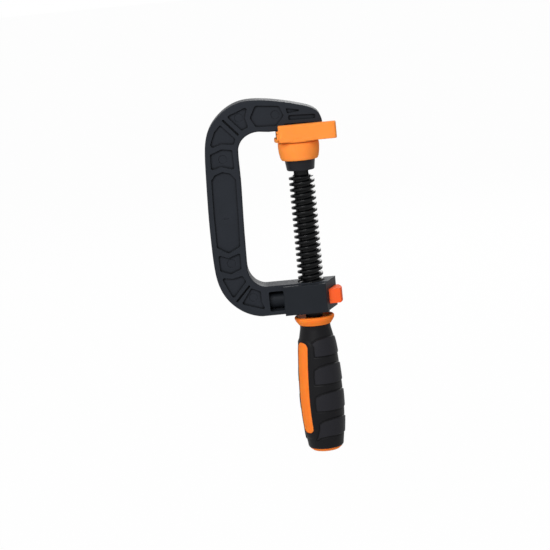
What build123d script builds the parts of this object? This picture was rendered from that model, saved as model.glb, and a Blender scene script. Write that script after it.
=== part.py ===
from build123d import *
import math
import os

os.makedirs("parts", exist_ok=True)

# Frame of reference
# Origin: centre of the fixed jaw's face, on the screw axis. +Z up along the screw,
# +X away from the spine (towards the button), -Y towards the viewer of the photo.

# Frame sizes, mm
FRAME_HALF = 12.5
ARM_UNDER = 10.5
RIM_ROUND = 0.9
POCKET_DEEP = 2.2
BOX_TOP = -119.9
BOX_BOTTOM = -144.7

# Nut box and covers
COVER_HALF = 17.5
COVER_TOP = -120.7
COVER_BOTTOM = -145.5
BOX_LEFT = -24.2
END_FRONT_X = 11.5
END_SLOPE = 0.3444
BUTTON_Z = -133.4
CAVITY_HALF = 6.4
CAVITY_LEFT = -22.3
PRESS = 4.2

# Clamp screw: single start, right hand
PITCH = 5.0
SCREW_R = 10.8
ROOT_R = 7.4
CREST_HALF = 0.75
FLANK_SPREAD = 0.85
THREAD_TOP = -30.0
THREAD_BOTTOM = -150.0
NECK_R = 6.3
HOLE_R = 11.3

# Swivel pad
PAD_GAP = 0.6
BALL_R = 6.0
BALL_Z = -11.6

# Handle
HANDLE_TOP = -151.1
GRIP_TOP = -157.2
GRIP_BOTTOM = -261.6
HANDLE_END = -268.6
STRIP_ANGLE = -43.0
GRIP_PROFILE = [(12.7, -157.2), (12.9, -160.5), (13.7, -164.0), (15.95, -174.7), (17.3, -188.0),
                (18.2, -203.7), (18.8, -218.0), (18.8, -226.0), (18.1, -239.0), (16.75, -251.5),
                (15.1, -261.6)]


# Small helpers
def box(x0, x1, y0, y1, z0, z1):
    """A box between two corners."""
    middle = ((x0 + x1) / 2, (y0 + y1) / 2, (z0 + z1) / 2)
    return Pos(*middle) * Box(x1 - x0, y1 - y0, z1 - z0)


def post(r, z0, z1, x=0.0, y=0.0):
    """A cylinder along Z."""
    return Pos(x, y, (z0 + z1) / 2) * Cylinder(r, z1 - z0)


def rod_x(r, x0, x1, z, y=0.0):
    """A cylinder along X."""
    return Pos((x0 + x1) / 2, y, z) * Rot(0, 90, 0) * Cylinder(r, x1 - x0)


def rod_y(r, y0, y1, x, z):
    """A cylinder along Y."""
    return Pos(x, (y0 + y1) / 2, z) * Rot(90, 0, 0) * Cylinder(r, y1 - y0)


def side_plate(face, y0, y1):
    """Extrude a sketch drawn in X and Z between two Y planes."""
    return extrude(Plane.XZ.offset(-y1) * face, amount=y1 - y0)


def polygon(points, r=0.0):
    """A filled polygon, with its corners rounded."""
    face = make_face(Polyline(*points, close=True))
    if r > 0:
        face = fillet(face.vertices(), r)
    return face


def turned(points):
    """Revolve a closed (radius, z) outline about the Z axis."""
    return revolve(Plane.XZ * make_face(Polyline(*points, close=True)), Axis.Z)


def save(shape, name):
    """Write one node as a STEP file."""
    export_step(shape, f"parts/{name}.step")


# C-frame
OUTER = [(21.3, 14.0), (20.5, 19.4), (17.7, 24.2), (12.8, 27.6), (4.0, 30.7), (-5.1, 33.2),
         (-14.5, 35.3), (-26.0, 37.2), (-38.0, 38.0), (-48.0, 36.8), (-57.5, 32.8), (-66.0, 26.4),
         (-72.6, 18.6), (-76.7, 9.8), (-78.4, 1.0), (-79.3, -10.0), (-80.0, -26.0), (-80.9, -55.0),
         (-80.9, -85.0), (-80.3, -100.0), (-78.9, -111.0), (-74.2, -124.0), (-64.5, -135.6),
         (-54.5, -141.8), (-44.0, -144.7)]
INNER = [(-30.0, 11.2), (-36.5, 11.2), (-42.8, 9.0), (-47.6, 5.0), (-50.2, 0.0), (-51.0, -6.0),
         (-51.0, -27.0), (-51.6, -50.0), (-52.3, -73.0), (-52.7, -97.0), (-51.9, -107.5),
         (-48.2, -114.3), (-42.3, -118.6), (-36.0, -119.7)]
POCKETS = [
    ([(-33.4, 33.4), (-13.5, 31.4), (-10.1, 22.6), (-17.0, 14.9), (-34.3, 15.6), (-38.6, 23.5)], 2.2),
    ([(-39.6, 33.4), (-57.7, 26.6), (-46.2, 13.6), (-40.6, 16.0), (-42.6, 24.0)], 1.5),
    ([(-63.9, 20.4), (-52.0, 7.3), (-54.0, 2.6), (-63.8, 4.0), (-72.4, 1.6), (-73.6, 4.4), (-69.3, 14.6)], 1.3),
    ([(-74.6, -3.8), (-64.6, -0.2), (-55.7, -1.6), (-55.3, -18.4), (-65.9, -14.9), (-74.9, -17.2)], 1.5),
    ([(-75.6, -25.6), (-72.2, -21.2), (-65.6, -19.2), (-59.4, -21.0), (-55.0, -26.4), (-55.8, -57.0),
      (-56.9, -83.4), (-67.0, -88.4), (-76.5, -82.6), (-76.5, -55.0)], 1.8),
    ([(-76.1, -88.8), (-67.9, -92.3), (-57.4, -88.6), (-57.7, -102.6), (-66.6, -106.2), (-75.7, -102.8)], 1.5),
    ([(-75.4, -108.4), (-66.2, -110.2), (-57.4, -108.4), (-54.6, -113.6), (-66.8, -127.4)], 1.5),
    ([(-51.2, -119.6), (-43.2, -123.4), (-43.4, -132.0), (-40.4, -139.4), (-60.4, -132.6)], 1.3),
    ([(-8.0, 29.0), (6.6, 26.0), (-7.2, 24.4)], 0.7),
    ([(-6.4, 22.9), (16.0, 22.0), (15.8, 18.3), (-6.6, 18.8)], 1.2),
    ([(-10.6, 16.0), (17.0, 15.3), (16.8, 12.4), (-10.8, 13.0)], 1.1),
]
SLOTS = [((-61.3, 24.0), (-49.2, 10.3)), ((-52.2, -117.4), (-64.3, -130.1))]
DISCS = [(-17.3, 24.2), (-47.8, 24.4), (-64.3, -8.9), (-65.7, -97.2), (-50.1, -128.0)]


def inset_points(points, inset):
    """Move the corners of a closed counter-clockwise outline inwards."""
    moved = []
    for i, (x, z) in enumerate(points):
        before = points[i - 1]
        after = points[(i + 1) % len(points)]
        a = math.atan2(z - before[1], x - before[0])
        b = math.atan2(after[1] - z, after[0] - x)
        half = (math.remainder(b - a, math.tau)) / 2
        reach = inset / math.cos(half)
        moved.append((x - reach * math.sin(a + half), z + reach * math.cos(a + half)))
    return moved


def frame_outline(inset=0.0):
    """The C shape: smooth outside and inside curves joined by straight arm ends."""
    around = OUTER + [(30.0, BOX_BOTTOM), (30.0, BOX_TOP)] + INNER[::-1]
    around += [(-24.0, ARM_UNDER), (21.3, ARM_UNDER)]
    moved = inset_points(around, inset)
    n, m = len(OUTER), len(INNER)
    outside = Spline(*moved[:n])
    lower = Polyline(*moved[n - 1:n + 3])
    inside = Spline(*moved[n + 2:n + 2 + m])
    nose = Polyline(*moved[n + 1 + m:], moved[0])
    return make_face(Wire([*outside.edges(), *lower.edges(), *inside.edges(), *nose.edges()]))


def frame_blank():
    """The C shape as a solid with bevelled rims."""
    half = FRAME_HALF - RIM_ROUND
    body = side_plate(frame_outline(), -half, half)
    for side in (-1, 1):
        wide = Plane.XZ.offset(-side * half) * frame_outline()
        narrow = Plane.XZ.offset(-side * FRAME_HALF) * frame_outline(RIM_ROUND)
        body += loft([wide, narrow], ruled=True)
    return body


def slot_face(a, b, width):
    """A thin slot with square ends between two points."""
    length = math.dist(a, b)
    angle = math.degrees(math.atan2(b[1] - a[1], b[0] - a[0]))
    return Pos((a[0] + b[0]) / 2, (a[1] + b[1]) / 2) * Rot(0, 0, angle) * Rectangle(length, width)


def pocket_cuts():
    """The moulded pockets and slots of both faces, with their ejector discs."""
    cuts = []
    for side in (-1, 1):
        y0, y1 = sorted((side * (FRAME_HALF - POCKET_DEEP), side * (FRAME_HALF + 1)))
        for points, r in POCKETS:
            cuts.append(side_plate(polygon(points, r), y0, y1))
        for a, b in SLOTS:
            cuts.append(side_plate(slot_face(a, b, 1.7), y0, y1))
        for x, z in DISCS:
            floor = side * (FRAME_HALF - POCKET_DEEP)
            d0, d1 = sorted((floor - side * 0.35, floor + side * 0.5))
            cuts.append(rod_y(3.6, d0, d1, x, z))
    return cuts


def end_plan(x_left, inset=0.0):
    """The plan of the nut box's slanted end, with its rounded back corner."""
    def edge(y):
        return END_FRONT_X + (y + COVER_HALF) * END_SLOPE - inset / 0.9455
    points = [(x_left, -COVER_HALF), (edge(-COVER_HALF), -COVER_HALF), (edge(COVER_HALF), COVER_HALF),
              (x_left, COVER_HALF)]
    face = make_face(Polyline(*points, close=True))
    corner = face.vertices().sort_by(Axis.X)[-1]
    return fillet(corner, 6.0)


def end_prism(x_left, z0, z1, inset=0.0):
    """The slanted end's plan as a tall block."""
    return extrude(Pos(0, 0, z0) * end_plan(x_left, inset), amount=z1 - z0)


def make_frame():
    """C-frame with the fixed jaw's boss and the nut box in the lower arm."""
    body = frame_blank()
    body -= pocket_cuts()
    body += box(-18.2, 18.2, -FRAME_HALF, FRAME_HALF, 3.7, ARM_UNDER + 0.5)
    body -= box(24.0, 31.0, -20, 20, -150, -110)
    keep = end_prism(-90.0, -150, -110)
    body -= box(-30.0, 31.0, -20, 20, -150, -110) - keep
    body -= jaw_slot()
    return body - box_cuts()


def jaw_slot():
    """The T-slot in the fixed jaw that the orange pad's key slides into."""
    return box(-4.2, 4.2, -13.0, 8.2, 3.0, 6.7) + box(-7.2, 7.2, -13.0, 8.2, 6.5, 9.3)


def box_cuts():
    """Screw hole, release cavity, button opening, window, barrel seat and screw holes."""
    cavity = end_prism(CAVITY_LEFT, BUTTON_Z - CAVITY_HALF, BUTTON_Z + CAVITY_HALF, 2.4)
    cavity &= box(-30, 30, -13.0, 13.0, -150, -110)
    opening = box(0, 30, -10.3, 10.3, BUTTON_Z - CAVITY_HALF, BUTTON_Z + CAVITY_HALF)
    hole = post(HOLE_R, -150, -110)
    hole += Pos(0, 0, BOX_TOP - 0.35) * Cone(HOLE_R, HOLE_R + 0.8, 0.8)
    window = side_plate(Pos(-30.6, -132.9) * RectangleRounded(12.4, 17.0, 1.3), -13.0, 13.0)
    seat = rod_x(7.45, -38.5, CAVITY_LEFT + 1.0, BUTTON_Z)
    cuts = [cavity, opening, hole, window, seat]
    for z in (-123.6, -142.3):
        cuts.append(rod_y(1.5, -13.0, 13.0, -19.0, z))
        cuts.append(rod_y(1.5, 5.0, 13.0, 15.2, z))
    return cuts


# Fixed jaw pad
def make_anvil_pad():
    """Orange jaw face, wall, long front bar and the key that holds it to the boss."""
    disc = post(20.0, 0.0, 3.6)
    disc = fillet(disc.edges().sort_by(Axis.Z)[0], 1.3)
    wall = box(-17.8, 17.8, -16.0, -12.7, 3.0, 10.3)
    wall -= box(-18.5, -17.0, -17.0, -12.0, 7.8, 8.7)
    bar = box(-16.2, 32.2, -19.7, -12.9, 1.0, 15.1)
    bar = fillet(bar.edges().filter_by(Axis.Z).group_by(Axis.Y)[0], 2.6)
    bar = fillet(bar.edges().group_by(Axis.Z)[-1], 1.0)
    bar = fillet(bar.edges().group_by(Axis.Z)[0], 0.8)
    key = box(-4.0, 4.0, -12.9, 8.0, 3.5, 6.9) + box(-7.0, 7.0, -12.9, 8.0, 6.7, 9.1)
    return disc + wall + bar + key


# Covers of the nut box
def leg_pocket(y0, y1):
    """Room for one leg of the release yoke in a cover's inner face."""
    room = end_prism(CAVITY_LEFT, BUTTON_Z - CAVITY_HALF, BUTTON_Z + CAVITY_HALF, 2.4)
    return room & box(-40, 40, y0, y1, -150, -110)


def make_cover(side):
    """Front cover (side -1) or rear cover (side +1)."""
    y0, y1 = sorted((side * (FRAME_HALF + 0.02), side * COVER_HALF))
    cover = end_prism(BOX_LEFT, COVER_BOTTOM, COVER_TOP) & box(-40, 40, y0, y1, -150, -110)
    outer = [e for e in cover.edges() if abs(e.center().Y - side * COVER_HALF) < 0.01]
    cover = fillet(outer, 0.9)
    p0, p1 = sorted((side * 12.4, side * 13.75))
    cover -= leg_pocket(p0, p1)
    for z in (-123.6, -142.3):
        cover -= rod_y(1.3, *sorted((side * 12.0, side * 16.0)), -19.0, z)
        if side > 0:
            cover -= rod_y(1.6, 12.0, 18.0, -19.0, z) + rod_y(1.6, 12.0, 18.0, 15.2, z)
            cover -= rod_y(2.9, 15.4, 18.0, -19.0, z) + rod_y(2.9, 15.4, 18.0, 15.2, z)
    return cover


def cover_screw(x, z, tip):
    """A pan-head cover screw with a cross slot, head to the rear."""
    shape = rod_y(1.28, tip, 15.6, x, z) + rod_y(2.7, 15.42, 17.2, x, z)
    shape -= box(x - 1.7, x + 1.7, 16.3, 18.0, z - 0.35, z + 0.35)
    shape -= box(x - 0.35, x + 0.35, 16.3, 18.0, z - 1.7, z + 1.7)
    return shape


# Release: spring barrel, yoke, half nut and button
def make_barrel():
    """Barrel that holds the return spring, closed at the spine end."""
    barrel = rod_x(7.42, -38.45, CAVITY_LEFT, BUTTON_Z) - rod_x(5.5, -37.4, -20.0, BUTTON_Z)
    return chamfer(barrel.edges().group_by(Axis.X)[-1], 0.5)


def make_spring():
    """Return spring, wire 1.1 mm, in the barrel."""
    turns = 7
    length = 18.2
    path = Helix(length / turns, length, 4.3)
    start = path @ 0
    wire = Plane(origin=start, z_dir=path % 0) * Circle(0.55)
    coil = sweep(wire, path=path, is_frenet=True)
    return Pos(-36.7, 0, BUTTON_Z) * Rot(0, 90, 0) * coil


def bay(x0, x1, r, z0, z1):
    """The room swept by a screw of radius r that shifts along X."""
    room = box(x0, x1, -r, r, z0, z1)
    return room + post(r, z0, z1, x0) + post(r, z0, z1, x1)


def make_yoke():
    """Closed frame round the screw; its left bar backs the half nut."""
    z0, z1 = BUTTON_Z - 6.0, BUTTON_Z + 6.0
    body = end_prism(-17.9, z0, z1, 2.75) & box(-40, 40, -13.35, 13.35, -150, -110)
    body += end_prism(0.0, z0, z1, 0.9) & box(5.0, 40, -10.0, 10.0, -150, -110)
    body -= bay(0.0, PRESS, 11.1, z0 - 1, z1 + 1)
    body -= box(-14.8, 0.0, -11.1, 11.1, z0 - 1, z1 + 1)
    for side in (-1, 1):
        body -= rod_y(1.0, *sorted((side * 10.0, side * 14.0)), -11.5, BUTTON_Z)
    return body


def make_guide():
    """Stem on the yoke that the spring runs on."""
    stem = rod_x(3.2, -30.0, -17.9, BUTTON_Z)
    return chamfer(stem.edges().sort_by(Axis.X)[0], 0.8)


def make_button():
    """Orange thumb button in the end of the lower arm."""
    z0, z1 = BUTTON_Z - 6.15, BUTTON_Z + 6.15
    bulge = Pos(-4.4, 0, 0) * Cylinder(30.0, 40)
    body = box(0, 26, -10.0, 10.0, z0, z1) & Pos(0, 0, BUTTON_Z) * bulge
    body -= end_prism(-20.0, z0 - 2, z1 + 2, 0.9)
    far = [e for e in body.edges() if e.center().X > 23.0]
    return fillet(far, 1.1)


def thread_profile(crest, spread, r_in, r_out):
    """Trapezoid of one thread ridge in the XZ plane, centred at Z = 0."""
    points = [(r_in, -crest - spread), (r_out, -crest), (r_out, crest), (r_in, crest + spread)]
    return Plane.XZ * make_face(Polyline(*points, close=True))


def ridge(z0, z1, crest, spread, r_in, r_out):
    """One continuous thread ridge; a crest stands at -X when (z + 31.6) is a whole pitch."""
    path = Helix(PITCH, z1 - z0, r_in)
    turn = (z0 - (-31.6 - PITCH / 2)) / PITCH * 360.0
    coil = sweep(thread_profile(crest, spread, r_in, r_out), path=path, is_frenet=True)
    return Pos(0, 0, z0) * Rot(0, 0, turn) * coil


def make_screw():
    """Threaded screw with its slotted neck and the hexagon that goes into the handle."""
    core = post(ROOT_R, THREAD_BOTTOM - 1.0, THREAD_TOP + 0.3)
    coil = ridge(THREAD_BOTTOM + 1.8, THREAD_TOP - 2.2, CREST_HALF, FLANK_SPREAD, ROOT_R - 0.2, SCREW_R)
    neck = post(NECK_R, THREAD_TOP - 1.0, -19.6)
    hexagon = extrude(Pos(0, 0, -174.0) * RegularPolygon(6.2, 6), amount=174.0 + THREAD_BOTTOM)
    body = core + coil + neck + hexagon
    for angle in (32, 148, 212, 328):
        x, y = NECK_R * math.cos(math.radians(angle)), NECK_R * math.sin(math.radians(angle))
        body -= Pos(x, y, -26.9) * Rot(0, 0, angle) * Box(2.6, 2.4, 4.8)
    body -= post(3.8, -58.5, -19.0) + post(4.02, -180, -58.4)
    for x in (-3.9, 3.9):
        body -= rod_y(1.02, -6.5, 6.5, x, -26.6)
    return body


def make_half_nut():
    """Half nut: grooves that follow the screw's ridge, trimmed to clear it when pressed."""
    z0, z1 = BUTTON_Z - 6.0, BUTTON_Z + 6.0
    body = box(-14.8, -3.6, -11.05, 11.05, z0, z1)
    body -= post(7.8, z0 - 1, z1 + 1)
    body -= post(11.1, z0 - 1, z1 + 1, PRESS)
    body -= ridge(z0 - 6.0, z1 + 6.0, CREST_HALF + 0.32, FLANK_SPREAD, ROOT_R, SCREW_R + 0.35)
    for side in (-1, 1):
        body -= rod_y(1.0, *sorted((side * 8.0, side * 12.0)), -11.5, BUTTON_Z)
    return body


def nut_pin(side):
    """Dowel that pins the half nut to a yoke leg."""
    return rod_y(1.0, *sorted((side * 8.05, side * 13.3)), -11.5, BUTTON_Z)


# Steel parts of the screw
def make_ball_pin():
    """Ball-ended pin that stands in the screw and carries the pad."""
    ball = Pos(0, 0, BALL_Z) * Sphere(BALL_R)
    ball -= box(-9, 9, -9, 9, BALL_Z + 5.2, BALL_Z + 9)
    shank = post(3.5, -54.0, BALL_Z - 4.6)
    groove = post(5.0, -28.2, -25.0) - post(2.4, -28.3, -24.9)
    return ball + shank - groove


def make_core_rod():
    """Steel core of the screw and handle, flattened where the handle grips it."""
    rod = post(4.0, -236.0, -58.5)
    for y in (-1, 1):
        rod -= box(-5, 5, *sorted((y * 3.2, y * 6)), -230.0, -185.0)
    return chamfer(rod.edges().group_by(Axis.Z)[0], 0.6)


# Swivel pad
def make_pad_cap():
    """Orange cap: the moving jaw's face and its barrel-shaped skirt."""
    top = -PAD_GAP
    outer = [(0, top), (16.7, top), (17.3, top - 0.6), (17.45, top - 4.0), (17.1, top - 8.5),
             (16.2, top - 13.2), (15.2, -15.6), (13.1, -15.6), (13.1, -4.6), (0, -4.6)]
    return turned(outer)


def make_pad_body():
    """Black pad body: socket inside the cap, tapered collar below it."""
    outer = [(0, -4.7), (12.9, -4.7), (12.9, -15.7), (12.85, -16.0), (11.7, -24.2), (11.2, -24.7),
             (6.9, -24.7), (6.9, -18.3), (8.2, -18.3), (8.2, -16.7), (6.35, -16.7), (6.35, BALL_Z),
             (0, BALL_Z)]
    return turned(outer) - Pos(0, 0, BALL_Z) * Sphere(BALL_R + 0.35)


def make_pad_ring():
    """Split retaining ring under the ball."""
    ring = post(8.1, -18.2, -16.9) - post(5.0, -19, -16)
    return ring - box(3, 9, -1.2, 1.2, -19, -16)


# Handle
def grip_turned(extra, r_in, z0, z1):
    """The grip's turned shape, grown by extra, down to an inner radius."""
    outer = [(r + extra, z) for r, z in GRIP_PROFILE]
    points = [(r_in, outer[0][1])] + outer + [(r_in, outer[-1][1])]
    return turned(points) & box(-30, 30, -30, 30, z0, z1)


def sector(a0, a1, r, z0, z1):
    """A wedge of the handle; angles are measured from the front towards +X."""
    steps = 6
    rim = [math.radians(a0 + (a1 - a0) * i / steps) for i in range(steps + 1)]
    points = [(0, 0)] + [(r * math.sin(a), -r * math.cos(a)) for a in rim]
    return extrude(Pos(0, 0, z0) * make_face(Polyline(*points, close=True)), amount=z1 - z0)


def strip_bar(angle, width, z0, z1, r_in):
    """A bar with rounded ends that stands out radially from the handle's hub."""
    face = Pos(0, (z0 + z1) / 2) * SlotOverall(z1 - z0, width, rotation=90)
    bar = side_plate(face, -26.0, -r_in)
    return Rot(0, 0, angle) * bar


def make_handle_core():
    """Orange core: dished guard ring, hub and two inset strips."""
    outer = [(0, -153.9), (8.2, -153.9), (14.9, -151.4), (15.6, -151.1), (16.3, -151.6),
             (17.0, -155.2), (16.7, -156.4), (15.6, -157.0), (12.4, -157.1), (10.4, -157.1),
             (10.4, -261.4), (0, -261.4)]
    core = turned(outer)
    skin = grip_turned(-0.25, 9.0, -260, -160)
    for angle in (STRIP_ANGLE, STRIP_ANGLE + 180):
        core += strip_bar(angle, 8.4, -252.0, -170.4, 9.5) & skin
    core -= extrude(Pos(0, 0, -174.1) * RegularPolygon(6.25, 6), amount=30)
    core -= post(7.6, -154.0, -150.0)
    core -= box(-7.6, 7.6, -7.6, 7.6, -151.3, -150.0)
    rod = post(4.02, -236.1, -170)
    for y in (-1, 1):
        rod -= box(-5, 5, *sorted((y * 3.2, y * 6)), -230.0, -185.0)
    core -= rod
    return core - post(6.0, -262.0, -256.0)


def make_grip():
    """Black soft grip over the core, with raised panels and windows for the strips."""
    grip = grip_turned(0.0, 10.42, -262, -150)
    panels = [(-184.6, -171.0), (-208.8, -194.4), (-232.0, -218.0), (-255.9, -241.0)]
    shell = grip_turned(0.65, 11.5, -262, -150)
    for z0, z1 in panels:
        for turn in (0, 180):
            grip += sector(turn - 14, turn + 108, 30, z0, z1) & shell
    for angle in (STRIP_ANGLE, STRIP_ANGLE + 180):
        grip -= strip_bar(angle, 8.5, -252.05, -170.35, 9.0)
    return grip


def make_butt_cap():
    """Orange cap on the end of the handle, with its spigot."""
    outer = [(0, -268.6), (7.0, -268.4), (11.6, -267.2), (13.8, -265.3), (14.9, -262.8), (15.0, -261.62),
             (5.9, -261.62), (5.9, -256.2), (0, -256.2)]
    return turned(outer)


def main():
    """Build and save every node."""
    save(make_anvil_pad(), "anvil_pad")
    save(make_cover(-1), "cover_front")
    save(make_cover(1), "cover_rear")
    save(Compound([cover_screw(-19.0, z, -15.6) for z in (-123.6, -142.3)]), "cover_screws_long")
    save(Compound([cover_screw(15.2, z, 5.5) for z in (-123.6, -142.3)]), "cover_screws_short")
    save(make_barrel(), "spring_barrel")
    save(make_spring(), "return_spring")
    save(make_yoke(), "release_yoke")
    save(make_guide(), "spring_guide")
    save(make_button(), "release_button")
    save(make_half_nut(), "half_nut")
    save(Compound([nut_pin(-1), nut_pin(1)]), "nut_pins")
    save(make_screw(), "clamp_screw")
    save(make_core_rod(), "core_rod")
    save(Compound([rod_y(1.0, -4.6, 4.6, x, -26.6) for x in (-3.9, 3.9)]), "neck_pins")
    save(make_ball_pin(), "ball_pin")
    save(post(3.6, -58.3, -54.3), "thrust_disc")
    save(make_pad_cap(), "pad_cap")
    save(make_pad_body(), "pad_body")
    save(make_pad_ring(), "pad_ring")
    save(make_handle_core(), "handle_core")
    save(make_grip(), "handle_grip")
    save(make_butt_cap(), "butt_cap")
    save(make_frame(), "c_frame")


main()
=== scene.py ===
# %% [markdown]
# # A quick-release C-clamp
#
# The clamp is a black nylon C-frame with an orange pad on its fixed jaw, a coarse moulded
# screw that carries an orange swivel pad, an orange thumb button that frees the screw, and
# a two-colour screwdriver handle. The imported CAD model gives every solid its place. This
# lesson gives each one the finish of the real moulding. It also remodels the grip and the
# orange core under it, fits a fuller ridge over the screw's thread, and closes the window
# in the lower arm with a thin web.

import math

import bmesh
import bpy
from mathutils import Matrix, Vector


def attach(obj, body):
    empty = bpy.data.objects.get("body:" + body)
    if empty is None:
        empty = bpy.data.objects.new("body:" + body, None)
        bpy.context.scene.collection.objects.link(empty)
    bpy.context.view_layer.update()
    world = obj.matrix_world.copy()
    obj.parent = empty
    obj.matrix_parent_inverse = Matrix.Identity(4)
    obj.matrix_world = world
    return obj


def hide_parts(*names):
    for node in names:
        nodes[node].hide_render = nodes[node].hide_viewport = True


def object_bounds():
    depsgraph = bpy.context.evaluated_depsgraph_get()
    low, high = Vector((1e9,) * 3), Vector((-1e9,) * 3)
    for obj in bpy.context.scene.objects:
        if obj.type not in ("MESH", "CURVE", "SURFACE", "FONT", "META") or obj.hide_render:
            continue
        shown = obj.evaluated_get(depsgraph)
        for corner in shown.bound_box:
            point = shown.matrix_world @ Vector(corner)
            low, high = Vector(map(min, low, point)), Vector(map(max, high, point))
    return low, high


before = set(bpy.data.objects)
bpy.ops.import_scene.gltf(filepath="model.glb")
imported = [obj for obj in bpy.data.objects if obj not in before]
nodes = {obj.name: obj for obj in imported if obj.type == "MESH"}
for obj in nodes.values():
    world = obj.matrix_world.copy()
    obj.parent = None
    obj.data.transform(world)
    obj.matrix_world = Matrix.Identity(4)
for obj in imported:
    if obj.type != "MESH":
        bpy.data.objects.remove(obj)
cad_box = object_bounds()
print("CAD box:", [[round(v, 4) for v in corner] for corner in cad_box])

# %% [markdown]
# ## Camera
# The photo was taken from a little above, with a long lens, and the clamp leans slightly
# to the left in it. A camera is easiest to place by what it looks at: a target point on
# the clamp, a distance, the angle above the horizon, and a roll about its own line of
# sight. The roll makes the lean, so the clamp itself stays square to the axes.

# %% Camera
TARGET = Vector((-0.0301, 0.0, -0.11237))
DISTANCE = 1.6456
ELEVATION = math.radians(9.7)
ROLL = math.radians(5.5)

across = Vector((1, 0, 0))
upward = Vector((0, math.sin(ELEVATION), math.cos(ELEVATION)))
back = Vector((0, -math.cos(ELEVATION), math.sin(ELEVATION)))
right = across * math.cos(ROLL) - upward * math.sin(ROLL)
up = upward * math.cos(ROLL) + across * math.sin(ROLL)

camera_data = bpy.data.cameras.new("camera")
camera_data.sensor_width = 36.0
camera_data.lens = 126.7
camera_data.clip_start = 0.05
camera_data.clip_end = 60.0
camera = bpy.data.objects.new("camera", camera_data)
bpy.context.scene.collection.objects.link(camera)
facing = Matrix((right, up, back)).transposed().to_4x4()
camera.matrix_world = Matrix.Translation(TARGET + back * DISTANCE) @ facing
bpy.context.scene.camera = camera
bpy.context.scene.view_settings.view_transform = "Standard"
print("Camera at", [round(v, 3) for v in camera.matrix_world.translation])

# %% [markdown]
# ## Nodes and colours
# Blender's shaders work in linear light, while a colour read off a screen is in sRGB. One
# function turns a hex colour into linear values. A second one adds a shader node, sets its
# inputs, and links those that are given as another node's output.

# %% Helpers for materials
def colour(code):
    """Turn an sRGB hex colour, such as 2A2B2F, into linear red, green, blue and alpha."""
    values = [int(code[i:i + 2], 16) / 255 for i in (0, 2, 4)]
    return [v / 12.92 if v <= 0.04045 else ((v + 0.055) / 1.055) ** 2.4 for v in values] + [1.0]


def add(tree, kind, inputs=None, **settings):
    """Add one shader node with its settings; an input is a value or another node's output."""
    made = tree.nodes.new("ShaderNode" + kind)
    for name, value in settings.items():
        setattr(made, name, value)
    for name, value in (inputs or {}).items():
        if isinstance(value, bpy.types.NodeSocket):
            tree.links.new(value, made.inputs[name])
        else:
            made.inputs[name].default_value = value
    return made


def new_material(name):
    """Start a material with an empty node tree."""
    material = bpy.data.materials.new(name)
    material.use_nodes = True
    material.node_tree.nodes.clear()
    return material, material.node_tree


def dress(material, *names):
    """Give CAD nodes a material."""
    for name in names:
        for place in nodes[name].material_slots:
            place.material = material
    print(material.name, "on", ", ".join(names))

# %% [markdown]
# ## Moulded plastic
# Nearly everything on the clamp is injection moulded. A mould is spark-eroded to a fine
# even grain, which breaks up reflections, and the plastic shrinks a little as it cools, so
# flat faces have soft, slow waves. Corners are never sharp: the Bevel node rounds the
# normal along each edge, so that edges catch a thin line of light as a moulded edge does.
# Colour varies by a few percent where the melt flowed. Inside corners a few millimetres deep are darkened in
# colour: painted shade, standing in for the shade that falls there. One recipe makes each plastic, with its own
# colours, gloss, grain and edge radius, all in real millimetres.

# %% Recipe for a moulded plastic
# Scales are cycles in a metre, so patches of colour are about 17 mm wide and waves about
# 22 mm. The other lengths are in metres.
FLOW_SCALE, WAVE_SCALE = 60.0, 45.0
GRAIN_HEIGHT, WAVE_HEIGHT = 0.0001, 0.0006
CORNER_REACH = 0.0025
GLOSS_SPREAD = 0.05
LIGHT_TRAVEL = 0.002


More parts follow.
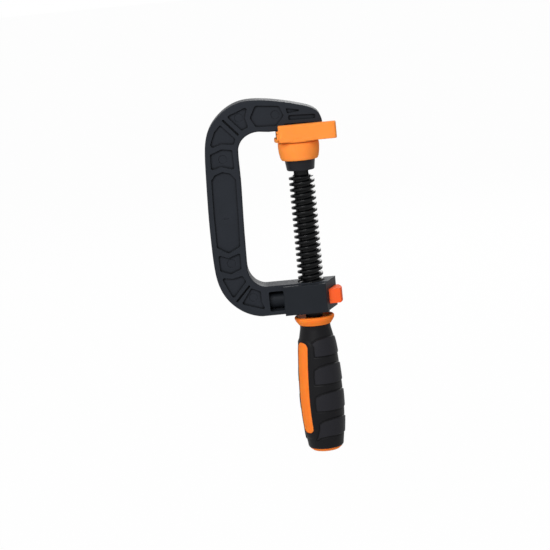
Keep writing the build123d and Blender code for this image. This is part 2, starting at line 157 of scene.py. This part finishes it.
def moulded(name, light, dark, roughness, grain_mm, grain_depth, edge_mm, shine, parting=False,
            corner_shade=0.35, panel=None, glow=0.0, marks=False):
    """Make a moulded plastic: two close colours, a grain size in mm and an edge radius in mm.

    Corners a few millimetres deep are darkened to corner_shade, a painted shade. A panel colour goes where the
    mesh is marked "panel", and glow is the share of light that travels under the skin.
    Parting and marks add the frame's parting line and its gate mark.
    """
    material, tree = new_material(name)
    place = add(tree, "TexCoord").outputs["Object"]
    flow = add(tree, "TexNoise", {"Vector": place, "Scale": FLOW_SCALE, "Detail": 3.0, "Roughness": 0.6})
    tone = add(tree, "Mix", {"Factor": flow.outputs["Fac"], "A": colour(dark), "B": colour(light)},
               data_type="RGBA")
    if panel:
        marked = add(tree, "Attribute", attribute_name="panel").outputs["Fac"]
        tone = add(tree, "Mix", {"Factor": marked, "A": tone.outputs["Result"], "B": colour(panel)},
                   data_type="RGBA")
    # Painted shade: ambient occlusion darkens the colour in inside corners and hollows, down to corner_shade.
    corner_occlusion = add(tree, "AmbientOcclusion", {"Distance": CORNER_REACH}, samples=8, only_local=True)
    clear = add(tree, "MapRange", {"Value": corner_occlusion.outputs["AO"], "From Min": 0.35, "From Max": 0.9,
                                   "To Min": corner_shade, "To Max": 1.0})
    shade = add(tree, "Mix", {"Factor": 1.0, "A": tone.outputs["Result"], "B": clear.outputs["Result"]},
                data_type="RGBA", blend_type="MULTIPLY")
    grain = add(tree, "TexNoise", {"Vector": place, "Scale": 1000.0 / grain_mm, "Detail": 2.0})
    waves = add(tree, "TexNoise", {"Vector": place, "Scale": WAVE_SCALE, "Detail": 1.0})
    gloss = add(tree, "MapRange", {"Value": waves.outputs["Fac"], "To Min": roughness - GLOSS_SPREAD,
                                   "To Max": roughness + GLOSS_SPREAD})
    edge = add(tree, "Bevel", {"Radius": edge_mm / 1000.0}, samples=6)
    skin = add(tree, "Bump", {"Height": grain.outputs["Fac"], "Strength": grain_depth,
                              "Distance": GRAIN_HEIGHT, "Normal": edge.outputs["Normal"]})
    normal = add(tree, "Bump", {"Height": waves.outputs["Fac"], "Strength": 0.25, "Distance": WAVE_HEIGHT,
                                "Normal": skin.outputs["Normal"]})
    if parting:
        normal = parting_line(tree, place, normal)
    if marks:
        normal = gate_mark(tree, place, normal)
    shader = add(tree, "BsdfPrincipled", {"Base Color": shade.outputs["Result"],
                                          "Roughness": gloss.outputs["Result"],
                                          "Specular IOR Level": shine, "IOR": 1.53,
                                          "Subsurface Weight": glow, "Subsurface Scale": LIGHT_TRAVEL,
                                          "Subsurface Radius": (1.0, 0.25, 0.05),
                                          "Normal": normal.outputs["Normal"]})
    add(tree, "OutputMaterial", {"Surface": shader.outputs["BSDF"]})
    return material


def parting_line(tree, place, normal):
    """Raise a fine line where the two mould halves met, on the plane Y = 0."""
    side = add(tree, "SeparateXYZ", {"Vector": place}).outputs["Y"]
    away = add(tree, "Math", {0: side}, operation="ABSOLUTE").outputs["Value"]
    line = add(tree, "MapRange", {"Value": away, "From Min": 0.0, "From Max": 0.0004,
                                  "To Min": 1.0, "To Max": 0.0}, interpolation_type="SMOOTHSTEP")
    return add(tree, "Bump", {"Height": line.outputs["Result"], "Strength": 0.9, "Distance": 0.00025,
                              "Normal": normal.outputs["Normal"]})


GATE_MARK = (("X", -0.0669, 0.0025), ("Z", -0.0588, 0.00035))
GATE_SOFT = 0.0001


def gate_mark(tree, place, normal):
    """Raise the short plain bar, 5 mm by 0.7 mm, that the mould left in the spine's long pocket."""
    at = add(tree, "SeparateXYZ", {"Vector": place}).outputs
    bands = []
    for axis, middle, half in GATE_MARK:
        off = add(tree, "Math", {0: at[axis], 1: middle}, operation="SUBTRACT").outputs["Value"]
        size = add(tree, "Math", {0: off}, operation="ABSOLUTE").outputs["Value"]
        band = add(tree, "MapRange", {"Value": size, "From Min": half - GATE_SOFT, "From Max": half + GATE_SOFT,
                                      "To Min": 1.0, "To Max": 0.0})
        bands.append(band.outputs["Result"])
    both = add(tree, "Math", {0: bands[0], 1: bands[1]}, operation="MULTIPLY")
    return add(tree, "Bump", {"Height": both.outputs["Value"], "Strength": 1.0, "Distance": 0.0004,
                              "Normal": normal.outputs["Normal"]})

# %% [markdown]
# ## Black glass-filled nylon
# The frame and the nut box's covers are glass-filled nylon: strong, satin, near black. The
# glass fibres near the skin grey it slightly and make it a little uneven. The two halves of
# the mould met along the frame's middle plane and left a fine line there.

# %% Frame, covers and spring barrel
# The numbers are roughness, grain in mm, grain depth, edge radius in mm and shine.
# The frame's inside corners, pockets and slots are painted nearly black by corner_shade 0.08: painted shade.
frame_nylon = moulded("glass_filled_nylon_moulded", "272A30", "212429", 0.52, 0.45, 0.35, 0.5, 0.07,
                      parting=True, corner_shade=0.08, marks=True)
cover_nylon = moulded("glass_filled_nylon_cover", "23262B", "1E2125", 0.5, 0.45, 0.35, 0.4, 0.06,
                      corner_shade=0.8)
dress(frame_nylon, "c_frame")
dress(cover_nylon, "cover_front", "cover_rear", "spring_barrel", "release_yoke")

# %% [markdown]
# ## Glossy black nylon
# The screw and the half nut are moulded in polished cavities, because they rub. They are
# darker and glossier than the frame, so each thread crest shows as a thin light band with
# a black shadow under it. The swivel pad's body is the same nylon with a satin skin.

# %% Screw, half nut and pad body
screw_nylon = moulded("unfilled_nylon_polished_mould", "0A0B0D", "060708", 0.27, 0.8, 0.12, 0.3, 0.14)
dress(screw_nylon, "clamp_screw", "half_nut", "neck_pins", "spring_guide")
collar_nylon = moulded("unfilled_nylon_satin_mould", "232327", "1B1B1E", 0.42, 0.5, 0.25, 0.35, 0.1)
dress(collar_nylon, "pad_body", "pad_ring")

# %% [markdown]
# ## Orange plastics
# The jaw pads are a light orange nylon with a satin skin. The button and the handle's core
# are slightly redder. Orange pigment is strong, so the variation is small, but a little
# light still travels a millimetre or two under the skin, red furthest. That is a low
# subsurface weight, and it warms thin lips and shadowed hollows.

# %% Pads, button, handle core and butt
pad_orange = moulded("orange_nylon_moulded", "FF9745", "FF8F3E", 0.55, 0.5, 0.2, 0.9, 0.03,
                     corner_shade=0.9, glow=0.2)
button_orange = moulded("red_orange_nylon_moulded", "FF6A35", "FA612F", 0.55, 0.5, 0.2, 0.5, 0.03,
                        corner_shade=0.9, glow=0.2)
handle_orange = moulded("orange_abs_moulded", "FF8836", "FF8030", 0.6, 0.6, 0.15, 0.4, 0.02,
                        corner_shade=1.0, glow=0.35)
dress(pad_orange, "anvil_pad", "pad_cap")
dress(button_orange, "release_button")
dress(handle_orange, "butt_cap")

# %% [markdown]
# ## Metals
# The parts inside are metal: a ground steel ball pin, core rod and guide pins, drawn
# spring wire, and zinc-plated screws, whose heads show at the back. A metal keeps Blender's
# default IOR and is told apart by its colour, how rough it is, and the direction of its
# fine scratches: turned steel has rings about its axis, and plated steel has a soft
# blue-yellow cast.

# %% Recipe for a metal
def metal(name, light, dark, roughness, scratch_mm, stretch):
    """Make a bare metal with fine scratches, stretched along one axis."""
    material, tree = new_material(name)
    place = add(tree, "TexCoord").outputs["Object"]
    turned = add(tree, "Mapping", {"Vector": place, "Scale": stretch})
    scratch = add(tree, "TexNoise", {"Vector": turned.outputs["Vector"], "Scale": 1000.0 / scratch_mm,
                                     "Detail": 3.0})
    cast = add(tree, "TexNoise", {"Vector": place, "Scale": 150.0, "Detail": 2.0})
    shade = add(tree, "Mix", {"Factor": cast.outputs["Fac"], "A": colour(dark), "B": colour(light)},
                data_type="RGBA")
    gloss = add(tree, "MapRange", {"Value": scratch.outputs["Fac"], "To Min": roughness - 0.06,
                                   "To Max": roughness + 0.08})
    edge = add(tree, "Bevel", {"Radius": 0.0002}, samples=4)
    normal = add(tree, "Bump", {"Height": scratch.outputs["Fac"], "Strength": 0.15, "Distance": 0.00005,
                                "Normal": edge.outputs["Normal"]})
    shader = add(tree, "BsdfPrincipled", {"Base Color": shade.outputs["Result"], "Metallic": 1.0,
                                          "Roughness": gloss.outputs["Result"],
                                          "Normal": normal.outputs["Normal"]})
    add(tree, "OutputMaterial", {"Surface": shader.outputs["BSDF"]})
    return material

# %% Steel and plated parts
ground_steel = metal("ground_steel_turned", "B4B6BA", "9A9CA1", 0.28, 0.6, (0.1, 0.1, 1.0))
spring_steel = metal("spring_steel_drawn_wire", "8F9197", "74767C", 0.34, 0.6, (1.0, 0.2, 0.2))
zinc_steel = metal("zinc_plated_steel", "C9CBD0", "ABA898", 0.36, 0.5, (1.0, 1.0, 1.0))
dress(ground_steel, "ball_pin", "core_rod", "thrust_disc", "nut_pins")
dress(spring_steel, "return_spring")
dress(zinc_steel, "cover_screws_long", "cover_screws_short")

# %% [markdown]
# ## The grip
# The black grip is a soft rubbery plastic moulded over the orange core. Its surface is a
# swelling turned shape with raised panels on it: four bands under the fingers, and a smooth
# raised border round each of the two orange strips. It is made as the mould was made: first
# the turned shape, by spinning one side line about the handle's axis, whose lower end laps
# over the shoulder of the butt cap; then the panels and the fine groove round each, by
# pushing the skin outwards inside each panel's outline. Outlines are drawn flat, in
# millimetres round the handle and millimetres along it.

# %% Turned body of the grip
GRIP_SIDE = [(12.9, -157.2), (13.1, -160.5), (13.8, -164.0), (15.9, -174.7), (17.1, -188.0), (18.0, -203.7),
             (18.5, -218.0), (18.5, -226.0), (18.0, -239.0), (16.8, -251.5), (15.4, -261.6)]
LAP = [(15.35, -262.6), (15.05, -263.7), (14.5, -264.5), (14.2, -264.45), (14.95, -262.9), (15.06, -261.65)]
GRIP_BORE, GRIP_RADIUS = 10.42, 18.0
TURNS, RINGS = 310, 295


def side_radius(z):
    """Radius of the grip's side line at a height, in mm, on a smooth curve."""
    last = len(GRIP_SIDE) - 1
    k = next((i for i in range(last) if GRIP_SIDE[i + 1][1] <= z), last - 1)
    (r0, z0), (r1, z1) = GRIP_SIDE[k], GRIP_SIDE[k + 1]
    before, after = GRIP_SIDE[max(k - 1, 0)], GRIP_SIDE[min(k + 2, last)]
    span = z1 - z0
    t = (z - z0) / span
    slope0 = (r1 - before[0]) / (z1 - before[1]) * span
    slope1 = (after[0] - r0) / (after[1] - z0) * span
    return ((2 * t ** 3 - 3 * t ** 2 + 1) * r0 + (t ** 3 - 2 * t ** 2 + t) * slope0
            + (3 * t ** 2 - 2 * t ** 3) * r1 + (t ** 3 - t ** 2) * slope1)


def spun(line):
    """Spin a side line, given as (radius, height) in mm, once round the handle's axis."""
    bm = bmesh.new()
    points = [bm.verts.new((r / 1000, 0, z / 1000)) for r, z in line]
    edges = [bm.edges.new(pair) for pair in zip(points, points[1:])]
    bmesh.ops.spin(bm, geom=points + edges, cent=(0, 0, 0), axis=(0, 0, 1), angle=math.tau,
                   steps=TURNS, use_merge=True)
    bmesh.ops.remove_doubles(bm, verts=bm.verts, dist=1e-6)
    return bm


top, bottom = GRIP_SIDE[0][1], GRIP_SIDE[-1][1]
heights = [top + (bottom - top) * i / RINGS for i in range(RINGS + 1)]
bore = [(GRIP_BORE, LAP[-1][1]), (GRIP_BORE, top)]
outline = [(GRIP_BORE, top)] + [(side_radius(z), z) for z in heights] + LAP + bore
grip_mesh = spun(outline)
print("Turned grip:", len(grip_mesh.faces), "faces")

# %% Outlines of the panels and the strips
# Each panel end is a line of (degrees, height) from the panel's top to its bottom, as the
# front shows it. The same end, mirrored, closes the panel's far side.
PANEL_ENDS = [
    [(24, -168.0), (0, -169.2), (-18, -171.8), (-11.3, -174.9), (-11.3, -179.5), (-10.7, -183.3)],
    [(24, -191.0), (1, -192.5), (-14.7, -195.0), (-17.0, -200.5), (-15.9, -207.2)],
    [(25, -214.6), (1, -215.8), (-17.5, -218.3), (-19.3, -224.4), (-18.0, -230.6)],
    [(25, -238.0), (2, -239.5), (-13.8, -242.0), (-15.0, -246.8), (-22.0, -253.0), (-31.0, -257.2),
     (-15.0, -254.4), (8, -253.2)],
]
FRONT_MIDDLE, BACK_MIDDLE, BACK_SHIFT = 44.0, 222.0, 198.0
STRIP_ANGLES = (-57.5, 144.5)
STRIP_TOP, STRIP_BOTTOM, STRIP_WIDTH = -171.4, -250.6, 14.0
BORDER_TOP, BORDER_BOTTOM, BORDER_WIDTH = -168.8, -255.0, 19.0
CORNER_SHARE = 0.38
PANEL_RISE, GROOVE, BORDER_RISE, WINDOW_DEPTH, BAR_RISE = 0.75, 0.35, 0.4, 1.2, 0.35
# Widths in mm over which each edge rises, where the groove and the colour mark begin, and
# how near a window's side a point must be, in columns, to be turned onto it.
PANEL_SLOPE, GROOVE_SLOPE, BORDER_SLOPE = 0.7, 0.5, 1.1
GROOVE_WIDTH, GROOVE_INNER = 1.0, 0.1
MARK_INSET, MARK_SLOPE = 0.5, 0.6
WINDOW_STRAIGHT, WINDOW_GAP, SNAP_INSIDE, SNAP_OUTSIDE = 34.0, 0.03, 0.45, 0.55
ARC = math.radians(1.0) * GRIP_RADIUS
CELL = math.tau * GRIP_RADIUS / TURNS


def whole_panel(end, middle, shift):
    """Close a panel by mirroring its end about a middle angle; angles become mm round the grip."""
    near = [(angle + shift, z) for angle, z in end if angle + shift < middle - 1]
    far = [(2 * middle - angle, z) for angle, z in near]
    return [(angle * ARC, z) for angle, z in near + far[::-1]]


def edge_distance(point, corners):
    """Signed distance in mm from a flat outline, positive inside it."""
    inside, nearest = False, 1e9
    x, y = point
    for (x0, y0), (x1, y1) in zip(corners, corners[1:] + corners[:1]):
        dx, dy = x1 - x0, y1 - y0
        t = max(0.0, min(1.0, ((x - x0) * dx + (y - y0) * dy) / (dx * dx + dy * dy)))
        nearest = min(nearest, math.hypot(x - x0 - t * dx, y - y0 - t * dy))
        if (y0 > y) != (y1 > y) and x < x0 + (y - y0) * dx / dy:
            inside = not inside
    return nearest if inside else -nearest


def step_up(distance, width):
    """Rise smoothly from 0 to 1 over a width, centred on the outline."""
    t = max(0.0, min(1.0, 0.5 + distance / width))
    return t * t * (3 - 2 * t)


def bar_distance(across, z, low, high, width):
    """Signed distance in mm from a bar with rounded corners, positive inside it."""
    corner = CORNER_SHARE * width
    x = abs(across) - (width / 2 - corner)
    y = abs(z - (low + high) / 2) - ((high - low) / 2 - corner)
    return corner - math.hypot(max(x, 0.0), max(y, 0.0)) - min(max(x, y), 0.0)


# %% Raise the panels and borders, and open the windows for the strips
# Points near a window's side are turned onto it, so that its edge is straight and not
# stepped from one column of points to the next.
panels = [whole_panel(end, FRONT_MIDDLE, 0.0) for end in PANEL_ENDS]
panels += [whole_panel(end, BACK_MIDDLE, BACK_SHIFT) for end in PANEL_ENDS]
spans = [(min(z for _, z in p) - 1, max(z for _, z in p) + 1) for p in panels]
shaped = 0
panel_mark = grip_mesh.verts.layers.float.new("panel")
for vert in grip_mesh.verts:
    x, y, z = vert.co * 1000
    radius = math.hypot(x, y)
    if radius < GRIP_BORE + 0.5:
        continue
    angle = math.degrees(math.atan2(x, -y))
    round_mm = ((angle + 60) % 360 - 60) * ARC
    rise, depth, marked = 0.0, 0.0, 0.0
    for corners, (low, high) in zip(panels, spans):
        if low < z < high:
            inside = edge_distance((round_mm, z), corners)
            rise = max(rise, PANEL_RISE * step_up(inside, PANEL_SLOPE))
            marked = max(marked, step_up(inside - MARK_INSET, MARK_SLOPE))
            outer_side = step_up(inside + GROOVE_WIDTH, PANEL_SLOPE)
            inner_side = 1 - step_up(inside + GROOVE_INNER, GROOVE_SLOPE)
            depth = max(depth, GROOVE * outer_side * inner_side)
    rise = rise - depth
    vert[panel_mark] = marked
    turn = angle
    for middle in STRIP_ANGLES:
        off = math.radians((angle - middle + 180) % 360 - 180)
        if abs(off) > 1.0:
            continue
        across_mm = radius * math.sin(off)
        border = bar_distance(across_mm, z, BORDER_BOTTOM, BORDER_TOP, BORDER_WIDTH)
        if border > -BORDER_SLOPE / 2:
            rise = max(rise, BORDER_RISE * step_up(border, BORDER_SLOPE))
        window = bar_distance(across_mm, z, STRIP_BOTTOM, STRIP_TOP, STRIP_WIDTH)
        if window > SNAP_INSIDE * CELL:
            rise = -WINDOW_DEPTH
        elif window > -SNAP_OUTSIDE * CELL and abs(z - (STRIP_TOP + STRIP_BOTTOM) / 2) < WINDOW_STRAIGHT:
            edge = math.copysign(STRIP_WIDTH / 2 + WINDOW_GAP, off)
            turn = middle + math.degrees(math.asin(edge / radius))
    if rise or turn != angle:
        reach = (radius + rise) / 1000
        vert.co.x = reach * math.sin(math.radians(turn))
        vert.co.y = -reach * math.cos(math.radians(turn))
        shaped += 1
bmesh.ops.recalc_face_normals(grip_mesh, faces=grip_mesh.faces)
print("Moved", shaped, "points")

# %% Put the grip in the scene
SHARP = math.radians(40)


def finished(bm, name, body, material, *stands_for):
    """Turn a bmesh into a piece that rides on a body and may stand for CAD nodes."""
    mesh = bpy.data.meshes.new(name)
    for edge in bm.edges:
        edge.smooth = edge.calc_face_angle(0.0) < SHARP
    for face in bm.faces:
        face.smooth = True
    bm.to_mesh(mesh)
    bm.free()
    piece = bpy.data.objects.new(name, mesh)
    bpy.context.scene.collection.objects.link(piece)
    mesh.materials.append(material)
    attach(piece, body)
    if stands_for:
        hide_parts(*stands_for)
    print(name, "has", len(mesh.polygons), "faces and rides on", body)
    return piece


# The grooves round the panels and other inside corners are painted darker by corner_shade 0.2: painted shade.
soft_grip = moulded("thermoplastic_rubber_overmoulded", "18181A", "141416", 0.5, 0.5, 0.4, 0.3, 0.08,
                    corner_shade=0.2, panel="232327")
grip = finished(grip_mesh, "grip_sleeve", "screw", soft_grip, "handle_grip")

# %% [markdown]
# ## The orange core of the handle
# The handle is moulded twice. The orange core comes first: a flared ring that keeps the
# hand off the frame, a hub that holds the screw's hexagon and steel rod, and two long bars.
# The black skin is then moulded round it, and the ring and the bars stay bare. Ring and hub
# are one turned shape, so their side line is spun. Each bar is a flat grid that is narrowed
# at its ends, bent to the grip's curve and extruded inwards.

# %% Guard ring and hub
RING_TOP = -149.9
LIP = [(7.6, -2.4), (8.2, -2.8), (9.5, -2.5), (11.5, -1.8), (13.6, -1.0), (14.7, -0.5), (15.4, -0.1),
       (15.9, 0.0), (16.4, -0.2), (16.8, -0.7), (17.0, -1.3), (16.95, -2.0), (16.7, -2.8), (16.3, -3.6),
       (15.8, -4.5), (15.1, -5.4), (14.4, -6.3), (13.9, -7.15)]
HUB = [(10.4, -157.1), (10.4, -261.4), (6.0, -261.4), (6.0, -256.1), (4.1, -256.1), (4.1, -174.1),
       (6.35, -174.1), (6.35, -151.1), (7.6, -151.1)]
ring_side = [(r, RING_TOP + z) for r, z in LIP]
core_mesh = spun(ring_side + HUB + ring_side[:1])
print("Ring and hub:", len(core_mesh.faces), "faces")


# %% The two bars
BAR_COLUMNS, BAR_ROWS = 28, 150
BAR_ROUNDING, BAR_DEPTH = 0.5, 0.003


def add_bar(bm, middle):
    """Add one bar at an angle round the handle: a grid bent to the grip and extruded inwards."""
    grid = bmesh.ops.create_grid(bm, x_segments=BAR_COLUMNS, y_segments=BAR_ROWS, size=0.5)
    verts = grid["verts"]
    tall, centre = (STRIP_TOP - STRIP_BOTTOM) / 2, (STRIP_TOP + STRIP_BOTTOM) / 2
    corner = CORNER_SHARE * STRIP_WIDTH
    out = Vector((math.sin(math.radians(middle)), -math.cos(math.radians(middle)), 0))
    side = Vector((math.cos(math.radians(middle)), math.sin(math.radians(middle)), 0))
    for vert in verts:
        z = centre + 2 * vert.co.y * tall
        past = max(0.0, abs(z - centre) - (tall - corner))
        half = STRIP_WIDTH / 2 - corner + math.sqrt(max(corner ** 2 - past ** 2, 0.0))
        across_mm = 2 * vert.co.x * half
        rim = bar_distance(across_mm, z, STRIP_BOTTOM, STRIP_TOP, STRIP_WIDTH)
        radius = side_radius(z) + BAR_RISE - BAR_ROUNDING * (1 - min(max(rim, 0.0), 1.0)) ** 2
        place = out * math.sqrt(radius ** 2 - across_mm ** 2) + side * across_mm
        vert.co = Vector((place.x, place.y, z)) / 1000
    faces = list(dict.fromkeys(face for vert in verts for face in vert.link_faces))
    inner = bmesh.ops.extrude_face_region(bm, geom=faces, use_keep_orig=True)["geom"]
    moved = [item for item in inner if isinstance(item, bmesh.types.BMVert)]
    bmesh.ops.translate(bm, verts=moved, vec=-out * BAR_DEPTH)


for angle in STRIP_ANGLES:
    add_bar(core_mesh, angle)
bmesh.ops.recalc_face_normals(core_mesh, faces=core_mesh.faces)
core = finished(core_mesh, "handle_core_moulding", "screw", handle_orange, "handle_core")

# %% [markdown]
# ## The screw's thread
# A moulded screw has a fat thread with a rounded crest, because thin fins would break and
# would not fill in the mould. The CAD ridge is a plain tapered one, so a fuller ridge is
# fitted over it. A spin with a small shift at each step carries a flat outline along a
# helix, which is exactly how a thread is defined. Its flanks stay inside the half nut's
# grooves. Both ends sink into the screw's core over a millimetre of height, and the top is
# also cut off flat on a low shoulder.

# %% Thread ridge
PITCH = 5.0
THREAD_LOW, THREAD_HIGH, THREAD_ZERO = -148.2, -28.4, -34.1
FLANK = [(7.25, 1.86), (8.4, 1.64), (9.4, 1.43), (10.1, 1.24), (10.5, 1.07), (10.72, 0.95), (10.83, 0.76),
         (10.87, 0.3)]
STEPS_A_TURN = 60
RIDGE_ROOT = FLANK[0][0]
CUT_TOP, CUT_SLOPE = -28.8, 0.3
FADE = 1.0
SHOULDER = [(6.2, -30.0), (7.35, -30.0), (7.35, -29.0), (7.1, -28.75), (6.2, -28.7), (6.2, -30.0)]


def ridge_mesh():
    """Carry the ridge's outline up the screw along a right-hand helix."""
    bm = bmesh.new()
    start = math.radians((THREAD_LOW - THREAD_ZERO) / PITCH * 360)
    loop = [(r, -half) for r, half in FLANK] + [(r, half) for r, half in FLANK[::-1]]
    points = []
    for r, rise in loop:
        points.append(bm.verts.new((r * math.cos(start) / 1000, r * math.sin(start) / 1000,
                                    (THREAD_LOW + rise) / 1000)))
    edges = [bm.edges.new(pair) for pair in zip(points, points[1:] + points[:1])]
    turns = (THREAD_HIGH - THREAD_LOW) / PITCH
    steps = round(turns * STEPS_A_TURN)
    bmesh.ops.spin(bm, geom=points + edges, cent=(0, 0, 0), axis=(0, 0, 1), angle=math.tau * turns,
                   dvec=(0, 0, PITCH / 1000 * turns / steps), steps=steps)
    ends = [edge for edge in bm.edges if edge.is_boundary]
    bmesh.ops.holes_fill(bm, edges=ends, sides=0)
    return bm


thread = ridge_mesh()
for vert in thread.verts:
    x, y, z = vert.co * 1000
    radius = math.hypot(x, y)
    vert.co.z = min(z, CUT_TOP - CUT_SLOPE * (radius - RIDGE_ROOT)) / 1000
    along = THREAD_ZERO + math.degrees(math.atan2(y, x)) / 360 * PITCH
    along += PITCH * round((z - along) / PITCH)
    end = min(along - THREAD_LOW, THREAD_HIGH - along)
    if end < FADE:
        reach = RIDGE_ROOT + (radius - RIDGE_ROOT) * max(end, 0.0)
        vert.co.x, vert.co.y = x * reach / radius / 1000, y * reach / radius / 1000
shoulder = spun(SHOULDER)
shoulder_mesh = bpy.data.meshes.new("shoulder")
shoulder.to_mesh(shoulder_mesh)
shoulder.free()
thread.from_mesh(shoulder_mesh)
bpy.data.meshes.remove(shoulder_mesh)
bmesh.ops.recalc_face_normals(thread, faces=thread.faces)
ridge = finished(thread, "thread_ridge", "screw", screw_nylon)

# %% [markdown]
# ## The web behind the spring barrel
# The window in the lower arm is open from both sides, down to a thin web in the middle of
# the moulding that closes it above and below the barrel. The web is two short bars with
# softened edges, so a block is sized, placed and bevelled twice.

# %% Web
WEB_LEFT, WEB_RIGHT, WEB_HALF, WEB_EDGE = -36.8, -24.4, 1.6, 0.2
WEB_HEIGHTS = ((-126.0, -124.3), (-141.5, -140.75))


def add_block(bm, low, high, bevel_mm):
    """Add a block between two corners in mm, with bevelled edges."""
    made = bmesh.ops.create_cube(bm, size=1.0)["verts"]
    for vert in made:
        vert.co = Vector([((h - l) * c + (h + l) / 2) / 1000 for c, l, h in zip(vert.co, low, high)])
    edges = list(dict.fromkeys(edge for vert in made for edge in vert.link_edges))
    bmesh.ops.bevel(bm, geom=edges, offset=bevel_mm / 1000, offset_type="OFFSET", segments=2, profile=0.5,
                    affect="EDGES", material=-1)


web_mesh = bmesh.new()
for low, high in WEB_HEIGHTS:
    add_block(web_mesh, (WEB_LEFT, -WEB_HALF, low), (WEB_RIGHT, WEB_HALF, high), WEB_EDGE)
web = finished(web_mesh, "window_web", "frame", frame_nylon)

# %% [markdown]
# ## Floor and light
# The clamp hangs above a plain pale floor. The handle goes down 95 mm as the jaws open, so
# the floor lies below its lowest point and never cuts it off. The picture's background is
# white, so the floor and the world show white to the camera, while what they shine on the
# clamp stays at a plain level. The floor is mixed: mostly white for the camera, the rest a
# real surface, so a soft shadow still falls on it.

# %% Floor
SCREW_TRAVEL, FLOOR_GAP = 0.095, 0.001
FLOOR_SHOWS_WHITE, PLAIN_LEVEL = 0.98, 0.22


def looked_at(tree, *kinds):
    """Give 1 for these kinds of ray, such as those from the camera, and 0 for the rest."""
    path = add(tree, "LightPath").outputs
    seen = path[kinds[0]]
    for kind in kinds[1:]:
        seen = add(tree, "Math", {0: seen, 1: path[kind]}, operation="MAXIMUM").outputs["Value"]
    return seen


bm = bmesh.new()
bmesh.ops.create_grid(bm, x_segments=2, y_segments=2, size=20.0)
bmesh.ops.translate(bm, verts=bm.verts, vec=(0, 0, cad_box[0][2] - SCREW_TRAVEL - FLOOR_GAP))
floor_mesh = bpy.data.meshes.new("floor")
bm.to_mesh(floor_mesh)
bm.free()
floor = bpy.data.objects.new("floor", floor_mesh)
bpy.context.scene.collection.objects.link(floor)
floor_paint, tree = new_material("matt_white_floor")
seen = looked_at(tree, "Is Camera Ray", "Is Glossy Ray")
share = add(tree, "Math", {0: seen, 1: FLOOR_SHOWS_WHITE}, operation="MULTIPLY")
paint = add(tree, "BsdfDiffuse", {"Color": colour("E6E6E6")})
white = add(tree, "Emission", {"Color": (1, 1, 1, 1), "Strength": 1.0})
both = add(tree, "MixShader", {0: share.outputs["Value"], 1: paint.outputs["BSDF"],
                               2: white.outputs["Emission"]})
add(tree, "OutputMaterial", {"Surface": both.outputs["Shader"]})
floor_mesh.materials.append(floor_paint)

# %% World
world = bpy.data.worlds.new("studio")
bpy.context.scene.world = world
world.use_nodes = True
tree = world.node_tree
tree.nodes.clear()
seen = looked_at(tree, "Is Camera Ray", "Is Glossy Ray", "Is Transmission Ray")
level = add(tree, "MapRange", {"Value": seen, "To Min": PLAIN_LEVEL, "To Max": 1.0})
sky = add(tree, "Background", {"Color": (1, 1, 1, 1), "Strength": level.outputs["Result"]})
add(tree, "OutputWorld", {"Surface": sky.outputs["Background"]})

# %% Lamps
def softbox(name, place, size, share_of_light):
    """A square lamp aimed at the clamp that adds this share of plain light to what faces it."""
    lamp_data = bpy.data.lights.new(name, "AREA")
    lamp_data.shape = "SQUARE"
    lamp_data.size = size
    away = Vector(place) - TARGET
    lamp_data.energy = share_of_light * math.pi ** 2 * away.length ** 2
    lamp = bpy.data.objects.new(name, lamp_data)
    lamp.matrix_world = Matrix.Translation(place) @ away.to_track_quat("Z", "Y").to_matrix().to_4x4()
    bpy.context.scene.collection.objects.link(lamp)
    print(name, round(lamp_data.energy, 1), "W")


softbox("front_box", (-0.45, -1.25, 0.7), 0.8, 0.86)
softbox("top_box", (0.1, 0.1, 1.5), 1.3, 0.08)
softbox("back_box", (0.6, 1.8, 0.9), 1.2, 0.45)
